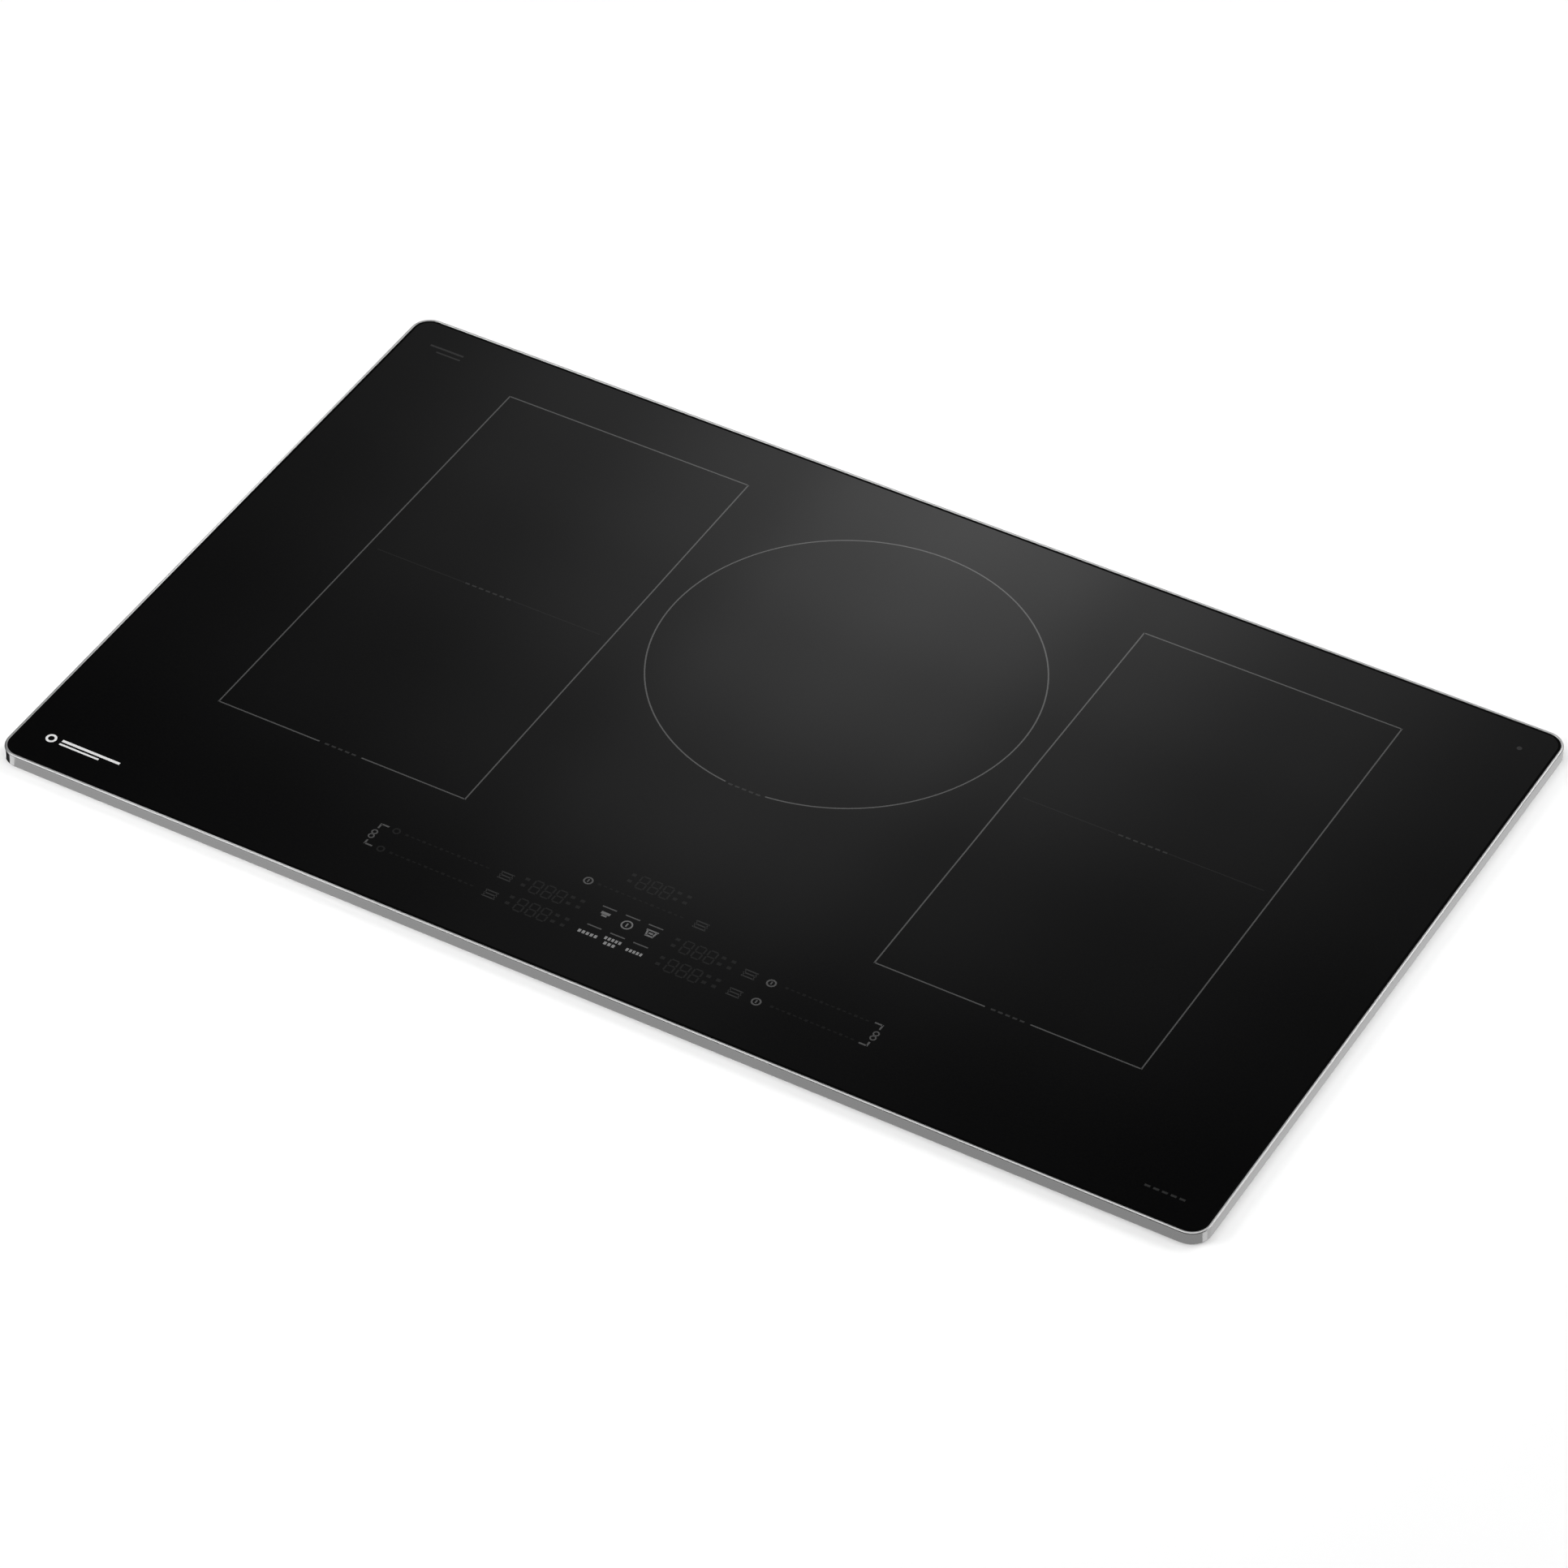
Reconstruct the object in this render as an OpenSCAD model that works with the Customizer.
// Built-in electric induction cooktop: black glass top in a steel trim, a sheet-metal pan below it,
// five coils on three sprung trays, two blowers, power electronics and two hold-down clamps.
// The origin is the middle of the pan's underside. +X is right, +Y is to the back, +Z is up.

/* [Top] */
// Overall width of the steel trim
trim_w = 925.5; // [915:0.5:935]
// Overall depth of the steel trim
trim_d = 546; // [538:0.5:556]
// Height of the trim above the worktop
trim_h = 9.7; // [9.5:0.1:12]
// Width of the trim's upright rim
rim = 2; // [1.5:0.1:2.5]
// Outer corner radius of the trim
corner_r = 15; // [12:0.5:20]
// Thickness of the glass
glass_t = 4; // [3.8:0.1:4.2]
// Width of the black joint between glass and rim
joint = 1.8; // [1:0.1:2.2]

/* [Chassis] */
// Width of the sheet-metal pan
pan_w = 860; // [852:1:866]
// Depth of the pan, front to back
pan_d = 490; // [486:1:500]
// Depth that hangs below the worktop
drop = 98; // [98:0.5:110]
// Thickness of the sheet metal
sheet = 1.2; // [1:0.1:1.5]

/* [Zones] */
// Sideways distance of the flexible zones from the middle
zone_x = 258.5; // [255:0.5:262]
// Middle of the flexible zones, front to back
zone_y = 34; // [30:1:38]
// Spacing of the two coils in a flexible zone
coil_pitch = 190; // [186:1:194]
// Radius of a side coil's winding
side_r = 88; // [80:1:90]
// Front-to-back place of the centre zone
centre_y = 86; // [82:1:90]
// Radius of the centre coil's winding
centre_r = 128; // [110:1:130]

/* [Fans] */
// Sideways distance of each fan from the middle
fan_x = 250; // [245:1:255]
// Front-to-back place of the fans
fan_y = 130; // [128:1:134]
// Radius of the impeller
wheel_r = 46; // [42:0.5:48]
// Number of impeller blades
blades = 30; // [24:2:36]

/* [Clamps] */
// How far the clamping screw stands out from the pan
clamp_out = 18; // [17:0.5:20]
// Radius of the clamping screw
clamp_r = 3; // [2.8:0.1:3.2]

/* [Hidden] */
$fn = 48;

cut = 1;                                // overshoot of a cutting solid
trim_top = drop + trim_h;               // top of the steel rim
glass_z = trim_top - 0.2 - glass_t;     // underside of the glass
glass_w = trim_w - 2 * rim - 2 * joint;
glass_d = trim_d - 2 * rim - 2 * joint;
bond = 0.8;                             // thickness of the adhesive below the glass
ledge_t = 1.5;                          // thickness of the trim's ledge and of the support frame
ledge_z = glass_z - bond - ledge_t;
ledge_in = 16;                          // reach of the ledge in from the trim's outline
frame_gap = 0.75;                       // gap between ledge and support frame
frame_hole_w = 840;                     // opening in the support frame
frame_hole_d = 472;
skirt_h = 19;                           // height of the support frame's skirt
wall_gap = 0.2;                         // gap between skirt and pan wall
pan_r = 8;                              // corner radius of the pan
pan_h = drop - 2;                       // height of the pan's wall
deck_z = 70;                            // underside of the deck that carries the coil trays
deck_t = 1.5;
deck_hole_r = 44;                       // round opening below each coil
deck_flange = 12;                       // height of the deck's down-turned flanges
screw_r = 1.8;                          // sheet-metal screw
screw_head_r = 4;
screw_head_t = 2;
screw_len = 8;
screw_fit = 0.05;                       // radial clearance round a fixed screw
tray_z = 89.5;                          // underside of the coil trays
tray_t = 1.5;
tray_half = 100;                        // half width of a side tray
centre_half = 136;                      // half width of the centre tray
pin_in = 10;                            // distance of a shoulder screw from the tray's edges
pin_r = 3;
pin_hole_r = 3.4;
pin_head_r = 5.5;
thread_r = 2.5;                         // shoulder screw's thread, held in the deck
coil_hole_r = 14;                       // hole in a tray below the sensor
spring_r = 5.6;                         // outside and inside of a tray spring
spring_bore_r = 4.2;
ferrite_t = 4.5;
former_t = 2;
winding_t = 4.6;
ferrite_z = tray_z + tray_t;
former_z = ferrite_z + ferrite_t;
winding_z = former_z + former_t;
mica_z = glass_z - 1;
mica_t = 0.6;
mica_in = 3;                            // the mica stops short of the tray's edge
hub_r = 16;                             // open middle of a winding
wire_r = 2.3;                           // radius of one turn of litz wire
wire_pitch = 4.4;
board_z = 12;                           // underside of the circuit boards
board_t = 1.6;
board_front = -215;                     // front edge of the circuit boards
board_d = 235;
parts_z = board_z + board_t;
chip_t = 2.4;                           // power transistors between board and heat sink
post_r = 3;                             // pillar under a circuit board
touch_w = 396;                          // touch carrier
touch_front = -235;
touch_back = -164;
touch_tab_w = 120;                      // tab of the carrier below the upper display
touch_tab = 10;
touch_z = 90;
touch_h = 11;
touch_wall = 2;
touch_board_z = touch_z + 4;
key_row_a = -206;                       // upper row of keys and sliders
key_row_b = -226;                       // lower row
key_row_c = -182.5;                     // slider of the centre zone
slider_x = 112;                         // first pad of a side slider
housing_r = 60;                         // fan scroll
duct_len = 78;                          // length of the fan's outlet, from its axis
housing_h = 42;
shell = 2.5;                            // wall of the fan's scroll
plate_t = 2;
intake_r = 38;
slot_w = 3.5;                           // width of every air slot
shaft_r = 2;
shaft_fit = 0.05;                       // radial clearance of the fan's shaft
blade_in = 10;                          // radial length of an impeller blade
motor_z = 24;                           // underside of the fan's motor
cup_z = 20;                             // underside of the impeller's cup, which encloses the motor
clamp_x = pan_w / 2 + clamp_out;
bracket_z = 34;                         // lower edge of the clamp bracket's plate
arm_z = 43;                             // underside of the clamp bracket's arm
arm_t = 2.5;
nut_t = 5;
pad_z = arm_z + arm_t + 0.5;
pad_h = 11;
pad_r = 8;
pad_bore = 6;                           // depth of the screw's tip in the pad
clamp_head_z = 2;                       // underside of the clamping screw's head
clamp_head_t = 4;
clamp_fit = 0.06;                       // radial clearance of the clamping screw in its nut and pad
inlet_x = 370;                          // conduit connector in the back wall
inlet_z = 32;
inlet_r = 11;
inlet_bore_r = 8.5;

// Rectangle with round corners, centred on the origin
module round_rect(w, d, r) {
    square([w - 2 * r, d], center = true);
    square([w, d - 2 * r], center = true);
    for (sx = [-1, 1], sy = [-1, 1]) {
        translate([sx * (w / 2 - r), sy * (d / 2 - r)]) circle(r = r);
    }
}

// Flat ring between two rounded rectangles
module ring(w, d, r, band, inner_r) {
    difference() {
        round_rect(w, d, r);
        round_rect(w - 2 * band, d - 2 * band, inner_r);
    }
}

module plate(z, t) {
    translate([0, 0, z]) linear_extrude(t) children();
}

// Copy of a right-hand part on the left
module left() {
    mirror([1, 0, 0]) children();
}

// ---- top ----

module glass_top() {
    color("#0b0c0d") plate(glass_z, glass_t) round_rect(glass_w, glass_d, corner_r - rim - joint);
}

module trim_frame() {
    inner_r = corner_r - rim;
    ledge_w = trim_w - rim;
    ledge_d = trim_d - rim;
    color("#b9bbbd") {
        plate(drop, trim_h) ring(trim_w, trim_d, corner_r, rim, inner_r);
        plate(ledge_z, ledge_t) ring(ledge_w, ledge_d, corner_r - rim / 2, ledge_in - rim / 2, 4);
    }
}

// Bed of adhesive below the glass and the narrow black joint round its edge
module glass_joint() {
    inner_r = corner_r - rim;
    pocket_w = trim_w - 2 * rim;
    pocket_d = trim_d - 2 * rim;
    bed = 34;
    color("#050505") {
        plate(glass_z - bond, bond) ring(pocket_w, pocket_d, inner_r, bed, 4);
        plate(glass_z, glass_t - 0.3) ring(pocket_w, pocket_d, inner_r, joint, inner_r - joint);
    }
}

module worktop_seal() {
    seal_band = 9;
    seal_gap = 3;
    seal_w = trim_w - 2 * rim - 2 * seal_gap;
    seal_d = trim_d - 2 * rim - 2 * seal_gap;
    color("#2a2a2a") plate(drop, ledge_z - drop) ring(seal_w, seal_d, 10, seal_band, 4);
}

module support_frame() {
    plate_w = trim_w - 2 * ledge_in - 2 * frame_gap;
    plate_d = trim_d - 2 * ledge_in - 2 * frame_gap;
    skirt_w = pan_w - 2 * sheet - 2 * wall_gap;
    skirt_d = pan_d - 2 * sheet - 2 * wall_gap;
    color("#9a9fa3") difference() {
        union() {
            plate(ledge_z, ledge_t) difference() {
                round_rect(plate_w, plate_d, 4);
                round_rect(frame_hole_w, frame_hole_d, 4);
            }
            plate(ledge_z - skirt_h, skirt_h) {
                ring(skirt_w, skirt_d, pan_r - sheet, sheet, pan_r - 2 * sheet);
            }
        }
        upper_screw_places() screw_hole(screw_r + screw_fit);
    }
}

// ---- chassis ----

// Places of the screws that join pan and support frame, each with +Z out of the pan's wall
module upper_screw_places() {
    screw_z = pan_h - 7;
    for (sx = [-1, 1], y = [-170, 170]) {
        translate([sx * pan_w / 2, y, screw_z]) rotate([0, sx * 90, 0]) children();
    }
    for (sy = [-1, 1], x = [-340, -115, 115, 340]) {
        translate([x, sy * pan_d / 2, screw_z]) rotate([-sy * 90, 0, 0]) children();
    }
}

// Places of the screws that hold the deck's flanges
module deck_screw_places() {
    for (sy = [-1, 1], x = [-300, 0, 300]) {
        translate([x, sy * pan_d / 2, deck_z - 6]) rotate([-sy * 90, 0, 0]) children();
    }
}

// Places of the screws that hold the clamp brackets
module bracket_screw_places() {
    for (sx = [-1, 1], y = [-22, 22]) {
        translate([sx * (pan_w / 2 + plate_t), y, bracket_z + 22]) rotate([0, sx * 90, 0]) children();
    }
}

module screw_hole(r) {
    translate([0, 0, -screw_len - cut]) cylinder(r = r, h = 2 * screw_len);
}

module sheet_screw() {
    translate([0, 0, -screw_len]) cylinder(r = screw_r, h = screw_len);
    cylinder(r = screw_head_r, h = screw_head_t);
}

module chassis_screws() {
    color("#c8c8c8") {
        upper_screw_places() sheet_screw();
        deck_screw_places() sheet_screw();
        bracket_screw_places() sheet_screw();
    }
}

// Slots that let air in below a fan, cut short to fit a circle
module intake_slots() {
    for (i = [-5 : 5]) {
        off = i * 2 * slot_w;
        len = 2 * sqrt(pow(intake_r + 2, 2) - off * off);
        translate([off, 0]) square([slot_w, len], center = true);
    }
}

module exhaust_slots() {
    slot_pitch = 9;
    slot_z = 22;
    slot_h = 30;
    for (i = [-16 : 16]) {
        translate([i * slot_pitch - slot_w / 2, pan_d / 2 - 2 * sheet, slot_z]) {
            cube([slot_w, 4 * sheet, slot_h]);
        }
    }
}

// Pillars under the three circuit boards
module board_posts() {
    for (sx = [-1, 1], x = [110, 160, 395], y = [board_front + 10, board_front + board_d - 10]) {
        translate([sx * x, y, 0]) cylinder(r = post_r, h = board_z);
    }
}

module base_pan() {
    inner_w = pan_w - 2 * sheet;
    inner_d = pan_d - 2 * sheet;
    color("#a4a8aa") {
        difference() {
            plate(0, pan_h) round_rect(pan_w, pan_d, pan_r);
            plate(sheet, pan_h) round_rect(inner_w, inner_d, pan_r - sheet);
            for (sx = [-1, 1]) {
                translate([sx * fan_x, fan_y]) plate(-cut, 3 * cut) intake_slots();
            }
            exhaust_slots();
            upper_screw_places() screw_hole(screw_r + screw_fit);
            deck_screw_places() screw_hole(screw_r + screw_fit);
            bracket_screw_places() screw_hole(screw_r + screw_fit);
            translate([inlet_x, pan_d / 2, inlet_z]) rotate([90, 0, 0]) {
                cylinder(r = inlet_r + 0.1, h = 20, center = true);
            }
        }
        board_posts();
    }
}

// Middle of each coil as [x, y]
function coil_places() = [
    for (sx = [-1, 1], sy = [-1, 1]) [sx * zone_x, zone_y + sy * coil_pitch / 2],
    [0, centre_y]
];

module support_deck() {
    deck_w = pan_w - 14;
    deck_d = pan_d - 2 * sheet - 2 * wall_gap;
    color("#8f9497") difference() {
        union() {
            plate(deck_z, deck_t) round_rect(deck_w, deck_d, 3);
            for (sy = [-1, 1]) {
                flange_y = sy * (deck_d / 2 - sheet / 2) - sheet / 2;
                translate([-deck_w / 2 + 4, flange_y, deck_z - deck_flange]) {
                    cube([deck_w - 8, sheet, deck_flange]);
                }
            }
        }
        for (p = coil_places()) {
            translate([p[0], p[1], deck_z - cut]) cylinder(r = deck_hole_r, h = deck_t + 2 * cut);
        }
        all_pin_places() translate([0, 0, deck_z - cut]) {
            cylinder(r = thread_r + screw_fit, h = deck_t + 2 * cut);
        }
        deck_screw_places() screw_hole(screw_r + screw_fit);
    }
}

// ---- coil trays ----

module side_pin_places() {
    for (sx = [-1, 1], sy = [-1, 1]) {
        x = zone_x + sx * (tray_half - pin_in);
        y = zone_y + sy * (coil_pitch / 2 + tray_half - pin_in);
        translate([x, y, 0]) children();
    }
}

module centre_pin_places() {
    for (sx = [-1, 1], sy = [-1, 1]) {
        translate([sx * (centre_half - pin_in), centre_y + sy * (centre_half - pin_in), 0]) children();
    }
}

module all_pin_places() {
    side_pin_places() children();
    left() side_pin_places() children();
    centre_pin_places() children();
}

module shoulder_screw() {
    tail = 4;
    translate([0, 0, deck_z - tail]) cylinder(r = thread_r, h = deck_t + tail);
    translate([0, 0, deck_z + deck_t]) cylinder(r = pin_r, h = tray_z + tray_t - deck_z - deck_t);
    translate([0, 0, tray_z + tray_t]) cylinder(r = pin_head_r, h = 2.5);
}

module shoulder_screws() {
    color("#c8c8c8") all_pin_places() shoulder_screw();
}

module tray_hole(r) {
    translate([0, 0, tray_z - cut]) cylinder(r = r, h = tray_t + 2 * cut);
}

module side_tray() {
    color("#c3c7ca") difference() {
        translate([zone_x, zone_y]) plate(tray_z, tray_t) {
            round_rect(2 * tray_half, coil_pitch + 2 * tray_half, 6);
        }
        side_pin_places() tray_hole(pin_hole_r);
        at_side_coils() tray_hole(coil_hole_r);
    }
}

module centre_tray() {
    color("#c3c7ca") difference() {
        translate([0, centre_y]) plate(tray_z, tray_t) round_rect(2 * centre_half, 2 * centre_half, 6);
        centre_pin_places() tray_hole(pin_hole_r);
        translate([0, centre_y, 0]) tray_hole(coil_hole_r);
    }
}

// Envelope of one coil spring between deck and tray
module spring() {
    translate([0, 0, deck_z + deck_t]) difference() {
        cylinder(r = spring_r, h = tray_z - deck_z - deck_t);
        translate([0, 0, -cut]) cylinder(r = spring_bore_r, h = tray_z - deck_z + cut);
    }
}

// Flat winding whose turns lie side by side
module winding(r) {
    turns = floor((r - hub_r) / wire_pitch);
    groove = 0.6;
    color("#b5672e") translate([0, 0, winding_z]) rotate_extrude($fn = 96) {
        translate([hub_r, groove]) square([turns * wire_pitch, winding_t - 2 * groove]);
        for (i = [0 : turns - 1]) {
            translate([hub_r + wire_r + i * wire_pitch, winding_t / 2]) circle(r = wire_r, $fn = 24);
        }
    }
}

// Spoked plastic disc that carries one winding
module former(r) {
    hub = 12;
    spoke = 8;
    color("#202224") translate([0, 0, former_z]) linear_extrude(former_t) {
        difference() {
            circle(r = r);
            circle(r = r - 6);
        }
        difference() {
            union() {
                circle(r = hub + spoke);
                for (a = [0 : 45 : 315]) {
                    rotate(a + 22.5) translate([hub, -spoke / 2]) square([r - hub - 3, spoke]);
                }
            }
            circle(r = hub);
        }
    }
}

// Ferrite bars set like spokes below one winding
module ferrites(r, count) {
    start = 20;
    bar_w = 14;
    color("#3b3d40") for (i = [0 : count - 1]) {
        rotate(i * 360 / count) translate([start, -bar_w / 2, ferrite_z]) {
            cube([r - start - 4, bar_w, ferrite_t]);
        }
    }
}

module heat_sensor() {
    color("#e8e4d8") {
        translate([0, 0, winding_z]) cylinder(r = hub_r - 2, h = 1);
        translate([0, 0, winding_z]) cylinder(r = hub_r / 2, h = mica_z - winding_z);
    }
}

// Puts one copy in the middle of each coil of the right-hand zone
module at_side_coils() {
    for (sy = [-1, 1]) {
        translate([zone_x, zone_y + sy * coil_pitch / 2, 0]) children();
    }
}

module at_side_coil(sx, sy) {
    translate([sx * zone_x, zone_y + sy * coil_pitch / 2, 0]) children();
}

module side_mica() {
    w = 2 * (tray_half - mica_in);
    color("#d9d2bd") translate([zone_x, zone_y]) plate(mica_z, mica_t) {
        round_rect(w, coil_pitch + w, 4);
    }
}

module centre_mica() {
    w = 2 * (centre_half - mica_in);
    color("#d9d2bd") translate([0, centre_y]) plate(mica_z, mica_t) {
        round_rect(w, w, 4);
    }
}

// ---- touch controls ----

module touch_outline(inset) {
    w = touch_w - 2 * inset;
    translate([-w / 2, touch_front + inset]) square([w, touch_back - touch_front - 2 * inset]);
    tab_w = touch_tab_w - 2 * inset;
    translate([-tab_w / 2, touch_front + inset]) {
        square([tab_w, touch_back - touch_front + touch_tab - 2 * inset]);
    }
}

// Round posts inside the corners of the touch carrier
module touch_corners(r, h) {
    corner_in = 8;
    for (x = [-1, 1] * (touch_w / 2 - corner_in), y = [touch_front + corner_in, touch_back - corner_in]) {
        translate([x, y, 0]) cylinder(r = r, h = h);
    }
}

module touch_carrier() {
    color("#2b2d30") {
        difference() {
            plate(touch_z, touch_h) touch_outline(0);
            plate(touch_z + touch_wall, touch_h) touch_outline(touch_wall);
        }
        floor_mid = touch_z + touch_wall / 2;
        leg_foot = deck_z + deck_t;
        translate([0, 0, floor_mid]) touch_corners(3, touch_board_z - floor_mid);
        translate([0, 0, leg_foot]) touch_corners(5, floor_mid - leg_foot);
    }
}

module touch_board() {
    color("#1f5a3a") plate(touch_board_z, board_t) touch_outline(touch_wall + 0.5);
}

// Sensing pads below the sliders and keys, their tops just clear of the glass
module touch_pads() {
    base = touch_board_z + board_t;
    h = glass_z - 0.4 - base;
    pad = 5;
    color("#1a1a1c") translate([0, 0, base]) {
        for (sx = [-1, 1], i = [0 : 5], y = [key_row_a, key_row_b]) {
            translate([sx * (slider_x + 14 * i), y]) cylinder(r = pad, h = h);
        }
        for (i = [-3 : 3]) {
            translate([13 * i, key_row_c]) cylinder(r = pad, h = h);
        }
        for (i = [-1 : 1], y = [key_row_a, key_row_b]) {
            translate([18 * i, y]) cylinder(r = pad, h = h);
        }
    }
}

module display_modules() {
    base = touch_board_z + board_t;
    h = glass_z - 0.6 - base;
    w = 44;
    d = 13;
    color("#3a1512") {
        translate([-w / 2, key_row_c + 9, base]) cube([w, d, h]);
        for (sx = [-1, 1], y = [key_row_a, key_row_b]) {
            translate([sx * 60 - w / 2, y - d / 2, base]) cube([w, d, h]);
        }
    }
}

// ---- electronics ----

module power_board() {
    color("#2c6b45") translate([150, board_front, board_z]) cube([255, board_d, board_t]);
}

// Finned extrusion in line with the fan's outlet
module heat_sink() {
    w = 62;
    len = 220;
    fins = 9;
    fin_t = 1.5;
    fin_h = 30;
    fin_pitch = (w - fin_t) / (fins - 1);
    color("#b9bdc0") translate([fan_x - w, board_front + 20, parts_z + chip_t]) {
        cube([w, len, 5]);
        for (i = [0 : fins - 1]) {
            translate([i * fin_pitch, 0, 4]) cube([fin_t, len, fin_h]);
        }
    }
}

module capacitor(r, h) {
    cylinder(r = r, h = h);
}

module ring_choke(r, section) {
    translate([0, 0, section]) rotate_extrude() translate([r - section, 0]) circle(r = section);
}

// Transistors below the heat sink, connectors on its inner side, capacitors, relays and chokes outside
module power_parts() {
    row = board_front + 25;
    chip = [20, 16, chip_t];
    plug = [12, 30, 14];
    relay = [32, 18, 24];
    can_r = 10;
    color("#1c1d1f") translate([0, 0, parts_z]) {
        for (i = [0 : 3]) {
            translate([fan_x - 45, row + 10 + 50 * i]) cube(chip);
            translate([160, row + 50 * i]) cube(plug);
            translate([345, row - 15 + 30 * i]) cube(relay);
        }
        for (i = [0 : 4], x = [290, 316]) {
            translate([x, row + 27 * i]) capacitor(can_r, 34);
        }
        for (x = [300, 350]) {
            translate([x, row + 160]) ring_choke(2 * can_r, 7);
        }
    }
}

module filter_board() {
    color("#2c6b45") translate([-120, board_front, board_z]) cube([240, board_d, board_t]);
}

// Mains filter: ring chokes, film capacitors, relays and a row of capacitors
module filter_parts() {
    row = board_front + 55;
    row_pitch = 50;
    film = [38, 20, 26];
    relay = [28, 16, 20];
    color("#1c1d1f") translate([0, row, parts_z]) {
        for (x = [-70, 0, 70]) {
            translate([x, 0]) ring_choke(26, 9);
        }
        for (i = [0 : 3]) {
            translate([-100 + 52 * i, row_pitch]) cube(film);
        }
        for (i = [0 : 4]) {
            translate([-90 + 42 * i, 2 * row_pitch]) cube(relay);
        }
        for (i = [0 : 3]) {
            translate([-75 + 50 * i, 3 * row_pitch - 5]) capacitor(9, 28);
        }
    }
}

module terminal_block() {
    ways = 4;
    pitch = 16;
    d = 26;
    h = 24;
    color("#e2ddcf") translate([inlet_x - ways * pitch / 2, 188, sheet]) difference() {
        cube([ways * pitch, d, h]);
        for (i = [0 : ways - 1]) {
            translate([pitch * (i + 0.5), d / 2, h - 10]) cylinder(r = 5, h = 10 + cut);
            translate([pitch * i + 3, d - 6, 4]) cube([pitch - 6, 6 + cut, 9]);
        }
    }
}

// Conduit fitting through the pan's back wall, with its locknut inside
module conduit_connector() {
    back = pan_d / 2;
    inner = 12;
    outer = 16;
    collar_r = 15;
    nut = 4;
    color("#c9ccce") translate([inlet_x, back, inlet_z]) rotate([-90, 0, 0]) difference() {
        union() {
            translate([0, 0, -inner]) cylinder(r = inlet_r, h = inner + 2);
            cylinder(r = collar_r, h = outer);
            translate([0, 0, -sheet - nut]) cylinder(r = collar_r, h = nut, $fn = 6);
        }
        translate([0, 0, -inner - cut]) cylinder(r = inlet_bore_r, h = inner + outer + 2 * cut);
    }
}

// ---- fans ----

module scroll(inset) {
    circle(r = housing_r - inset);
    translate([-housing_r + inset, -duct_len]) square([housing_r - 2 * inset, duct_len]);
}

module at_fan() {
    translate([fan_x, fan_y, 0]) children();
}

module fan_housing() {
    wall_z = sheet + plate_t;
    duct_w = housing_r - 2 * shell;
    color("#26282b") at_fan() {
        plate(sheet, plate_t) difference() {
            scroll(0);
            circle(r = intake_r);
        }
        plate(wall_z, housing_h - plate_t) difference() {
            scroll(0);
            circle(r = housing_r - shell);
            translate([-housing_r + shell, -duct_len - cut]) square([duct_w, duct_len + cut]);
        }
    }
}

module fan_cover() {
    color("#303236") at_fan() plate(sheet + housing_h, plate_t) scroll(0);
}

module fan_motor() {
    top = sheet + housing_h;
    bore_end = top - 2;
    color("#5c5f63") at_fan() difference() {
        translate([0, 0, motor_z]) cylinder(r = 15, h = top - motor_z);
        translate([0, 0, motor_z - cut]) cylinder(r = shaft_r + shaft_fit, h = bore_end - motor_z + cut);
    }
}

// Rotor cup, shaft, back plate and blades in one moulding
module impeller() {
    ring_z = 6.5;
    back_z = 36;
    cup_r = 19;
    cup_bore_r = 17;
    disc_t = 1.5;
    lean = 12;
    color("#3c3f43") at_fan() {
        plate(cup_z, 2) circle(r = cup_r);
        translate([0, 0, cup_z + 1]) cylinder(r = shaft_r, h = cup_r);
        plate(back_z, disc_t) difference() {
            circle(r = wheel_r);
            circle(r = cup_bore_r + 1);
        }
        plate(cup_z + 1, back_z - cup_z - 0.5) difference() {
            circle(r = cup_r);
            circle(r = cup_bore_r);
        }
        plate(ring_z, disc_t) difference() {
            circle(r = wheel_r);
            circle(r = wheel_r - 3);
        }
        plate(ring_z + 1, back_z - ring_z - 0.5) for (i = [0 : blades - 1]) {
            rotate(i * 360 / blades) translate([wheel_r - blade_in, -0.5]) {
                rotate(lean) square([blade_in - 1, 1]);
            }
        }
    }
}

// ---- clamps ----

module clamp_bracket() {
    half = 32;
    arm_half = 13;
    color("#b0b3b5") difference() {
        union() {
            translate([pan_w / 2, -half, bracket_z]) cube([plate_t, 2 * half, 34]);
            translate([pan_w / 2, -arm_half, arm_z]) cube([clamp_out + 10, 2 * arm_half, arm_t]);
            translate([clamp_x, 0, arm_z - nut_t]) cylinder(r = 7.5, h = nut_t, $fn = 6);
            for (sy = [-1, 1]) {
                translate([pan_w / 2, sy * (arm_half - 1) - 1, arm_z]) cube([8, 2, 14]);
            }
        }
        translate([clamp_x, 0, arm_z - 2 * nut_t]) cylinder(r = clamp_r + clamp_fit, h = 4 * nut_t);
        bracket_screw_places() screw_hole(screw_r + screw_fit);
    }
}

module clamp_screw() {
    color("#cfd1d2") translate([clamp_x, 0, clamp_head_z]) {
        cylinder(r = 2 * clamp_r, h = clamp_head_t, $fn = 6);
        cylinder(r = clamp_r, h = pad_z + pad_bore - clamp_head_z);
    }
}

module clamp_pad() {
    color("#1d1e20") translate([clamp_x, 0, pad_z]) difference() {
        cylinder(r = pad_r, h = pad_h);
        translate([0, 0, -cut]) cylinder(r = clamp_r + clamp_fit, h = pad_bore + 0.1 + cut);
    }
}

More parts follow.
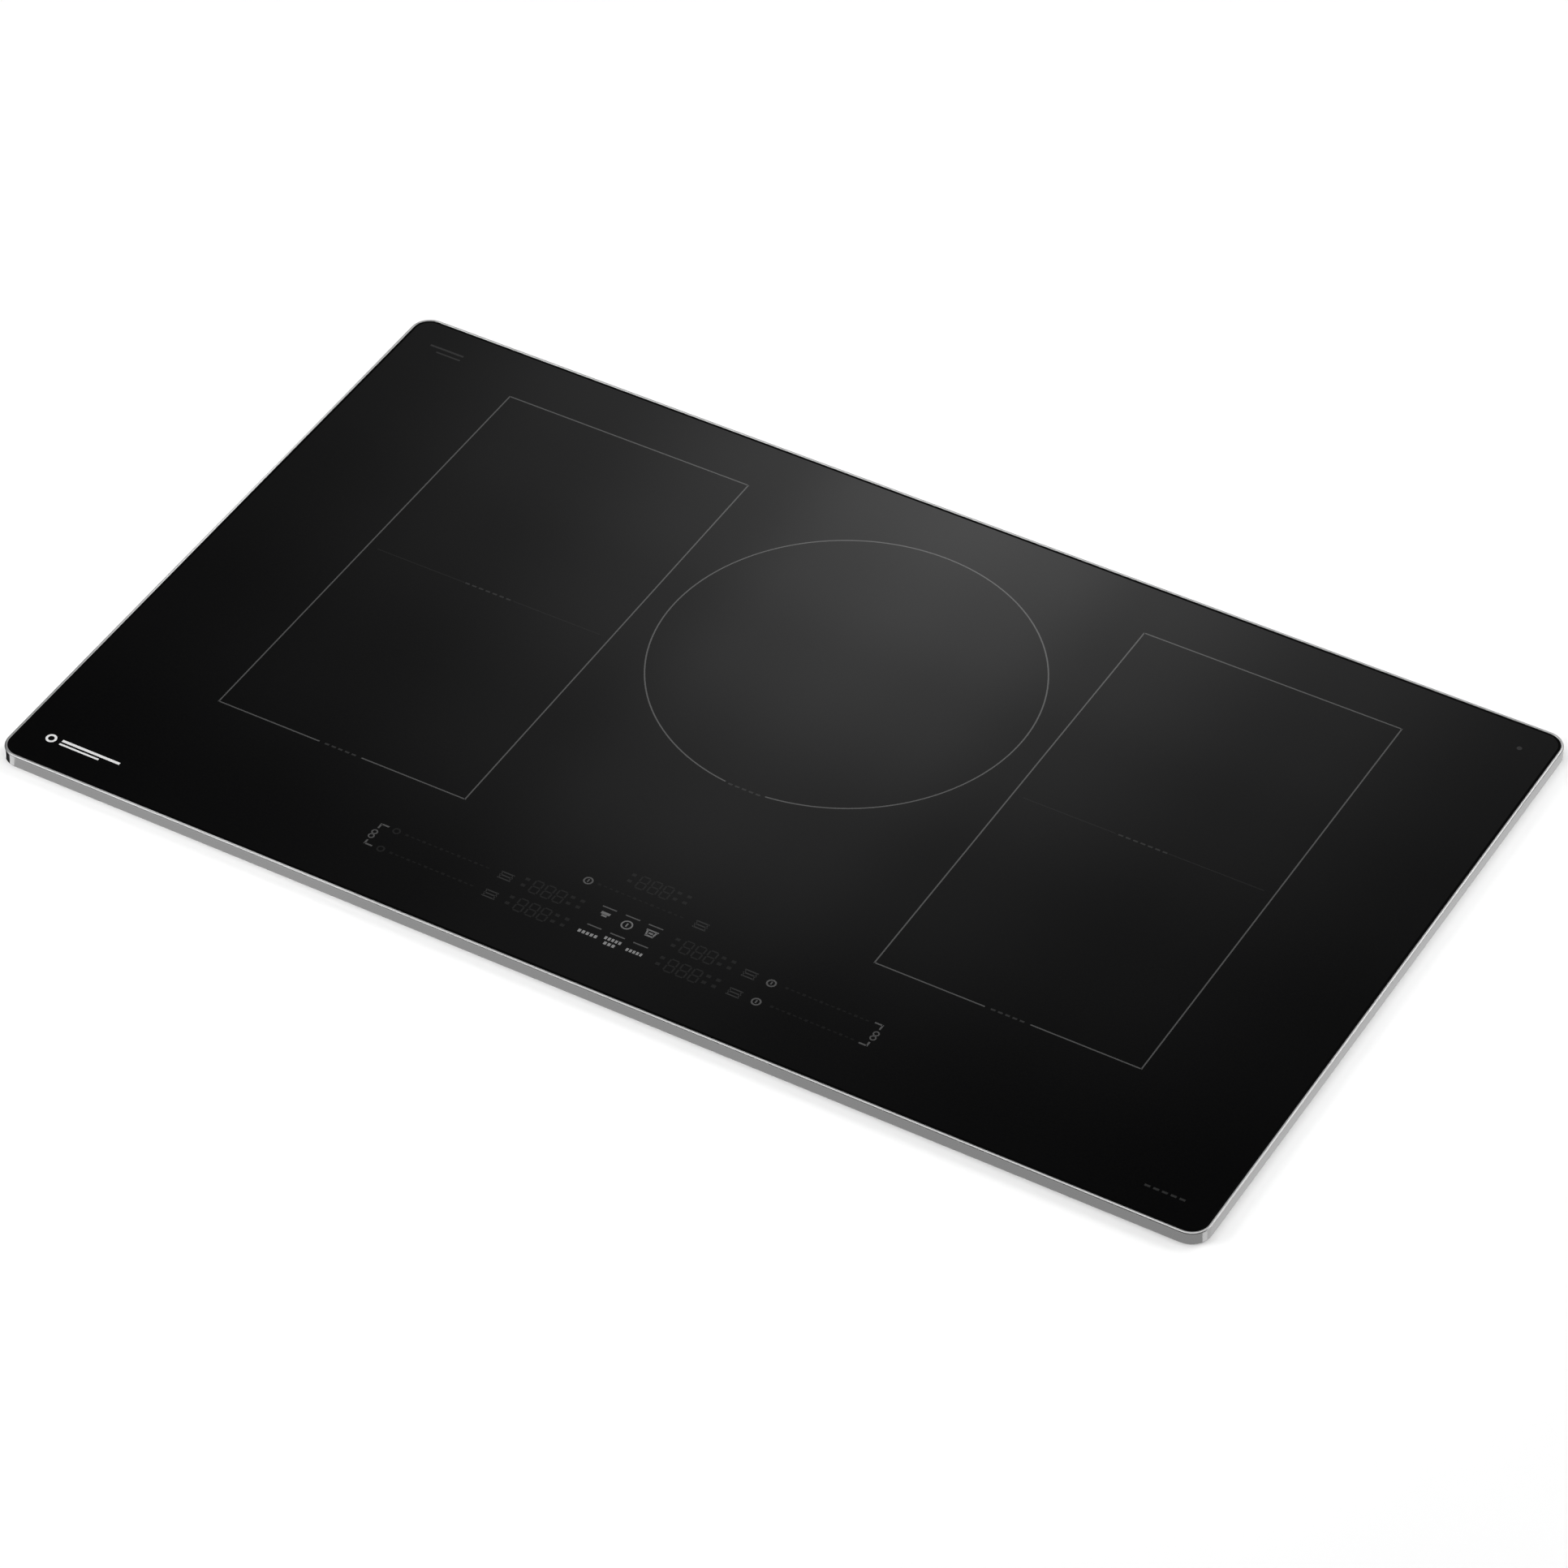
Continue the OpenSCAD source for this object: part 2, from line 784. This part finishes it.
glass_top();
trim_frame();
glass_joint();
worktop_seal();
support_frame();
base_pan();
chassis_screws();
support_deck();
shoulder_screws();
left() side_tray();  // coil_tray_left
centre_tray();  // coil_tray_center
side_tray();  // coil_tray_right
color("silver") left() side_pin_places() spring();  // tray_springs_left
color("silver") centre_pin_places() spring();  // tray_springs_center
color("silver") side_pin_places() spring();  // tray_springs_right
at_side_coil(-1, -1) winding(side_r);  // winding_left_front
at_side_coil(-1, 1) winding(side_r);  // winding_left_rear
translate([0, centre_y, 0]) winding(centre_r);  // winding_center
at_side_coil(1, -1) winding(side_r);  // winding_right_front
at_side_coil(1, 1) winding(side_r);  // winding_right_rear
left() at_side_coils() former(side_r);  // coil_formers_left
translate([0, centre_y, 0]) former(centre_r);  // coil_former_center
at_side_coils() former(side_r);  // coil_formers_right
left() at_side_coils() ferrites(side_r, 8);  // ferrites_left
translate([0, centre_y, 0]) ferrites(centre_r, 8);  // ferrites_center
at_side_coils() ferrites(side_r, 8);  // ferrites_right
left() side_mica();  // mica_sheet_left
centre_mica();  // mica_sheet_center
side_mica();  // mica_sheet_right
left() at_side_coils() heat_sensor();  // heat_sensors_left
translate([0, centre_y, 0]) heat_sensor();  // heat_sensor_center
at_side_coils() heat_sensor();  // heat_sensors_right
touch_carrier();
touch_board();
touch_pads();
display_modules();
left() power_board();  // power_board_left
power_board();  // power_board_right
left() heat_sink();  // heat_sink_left
heat_sink();  // heat_sink_right
left() power_parts();  // power_parts_left
power_parts();  // power_parts_right
filter_board();
filter_parts();
left() fan_housing();  // fan_housing_left
fan_housing();  // fan_housing_right
left() fan_cover();  // fan_cover_left
fan_cover();  // fan_cover_right
left() fan_motor();  // fan_motor_left
fan_motor();  // fan_motor_right
left() impeller();  // impeller_left
impeller();  // impeller_right
left() clamp_bracket();  // clamp_bracket_left
clamp_bracket();  // clamp_bracket_right
left() clamp_screw();  // clamp_screw_left
clamp_screw();  // clamp_screw_right
left() clamp_pad();  // clamp_pad_left
clamp_pad();  // clamp_pad_right
terminal_block();
conduit_connector();
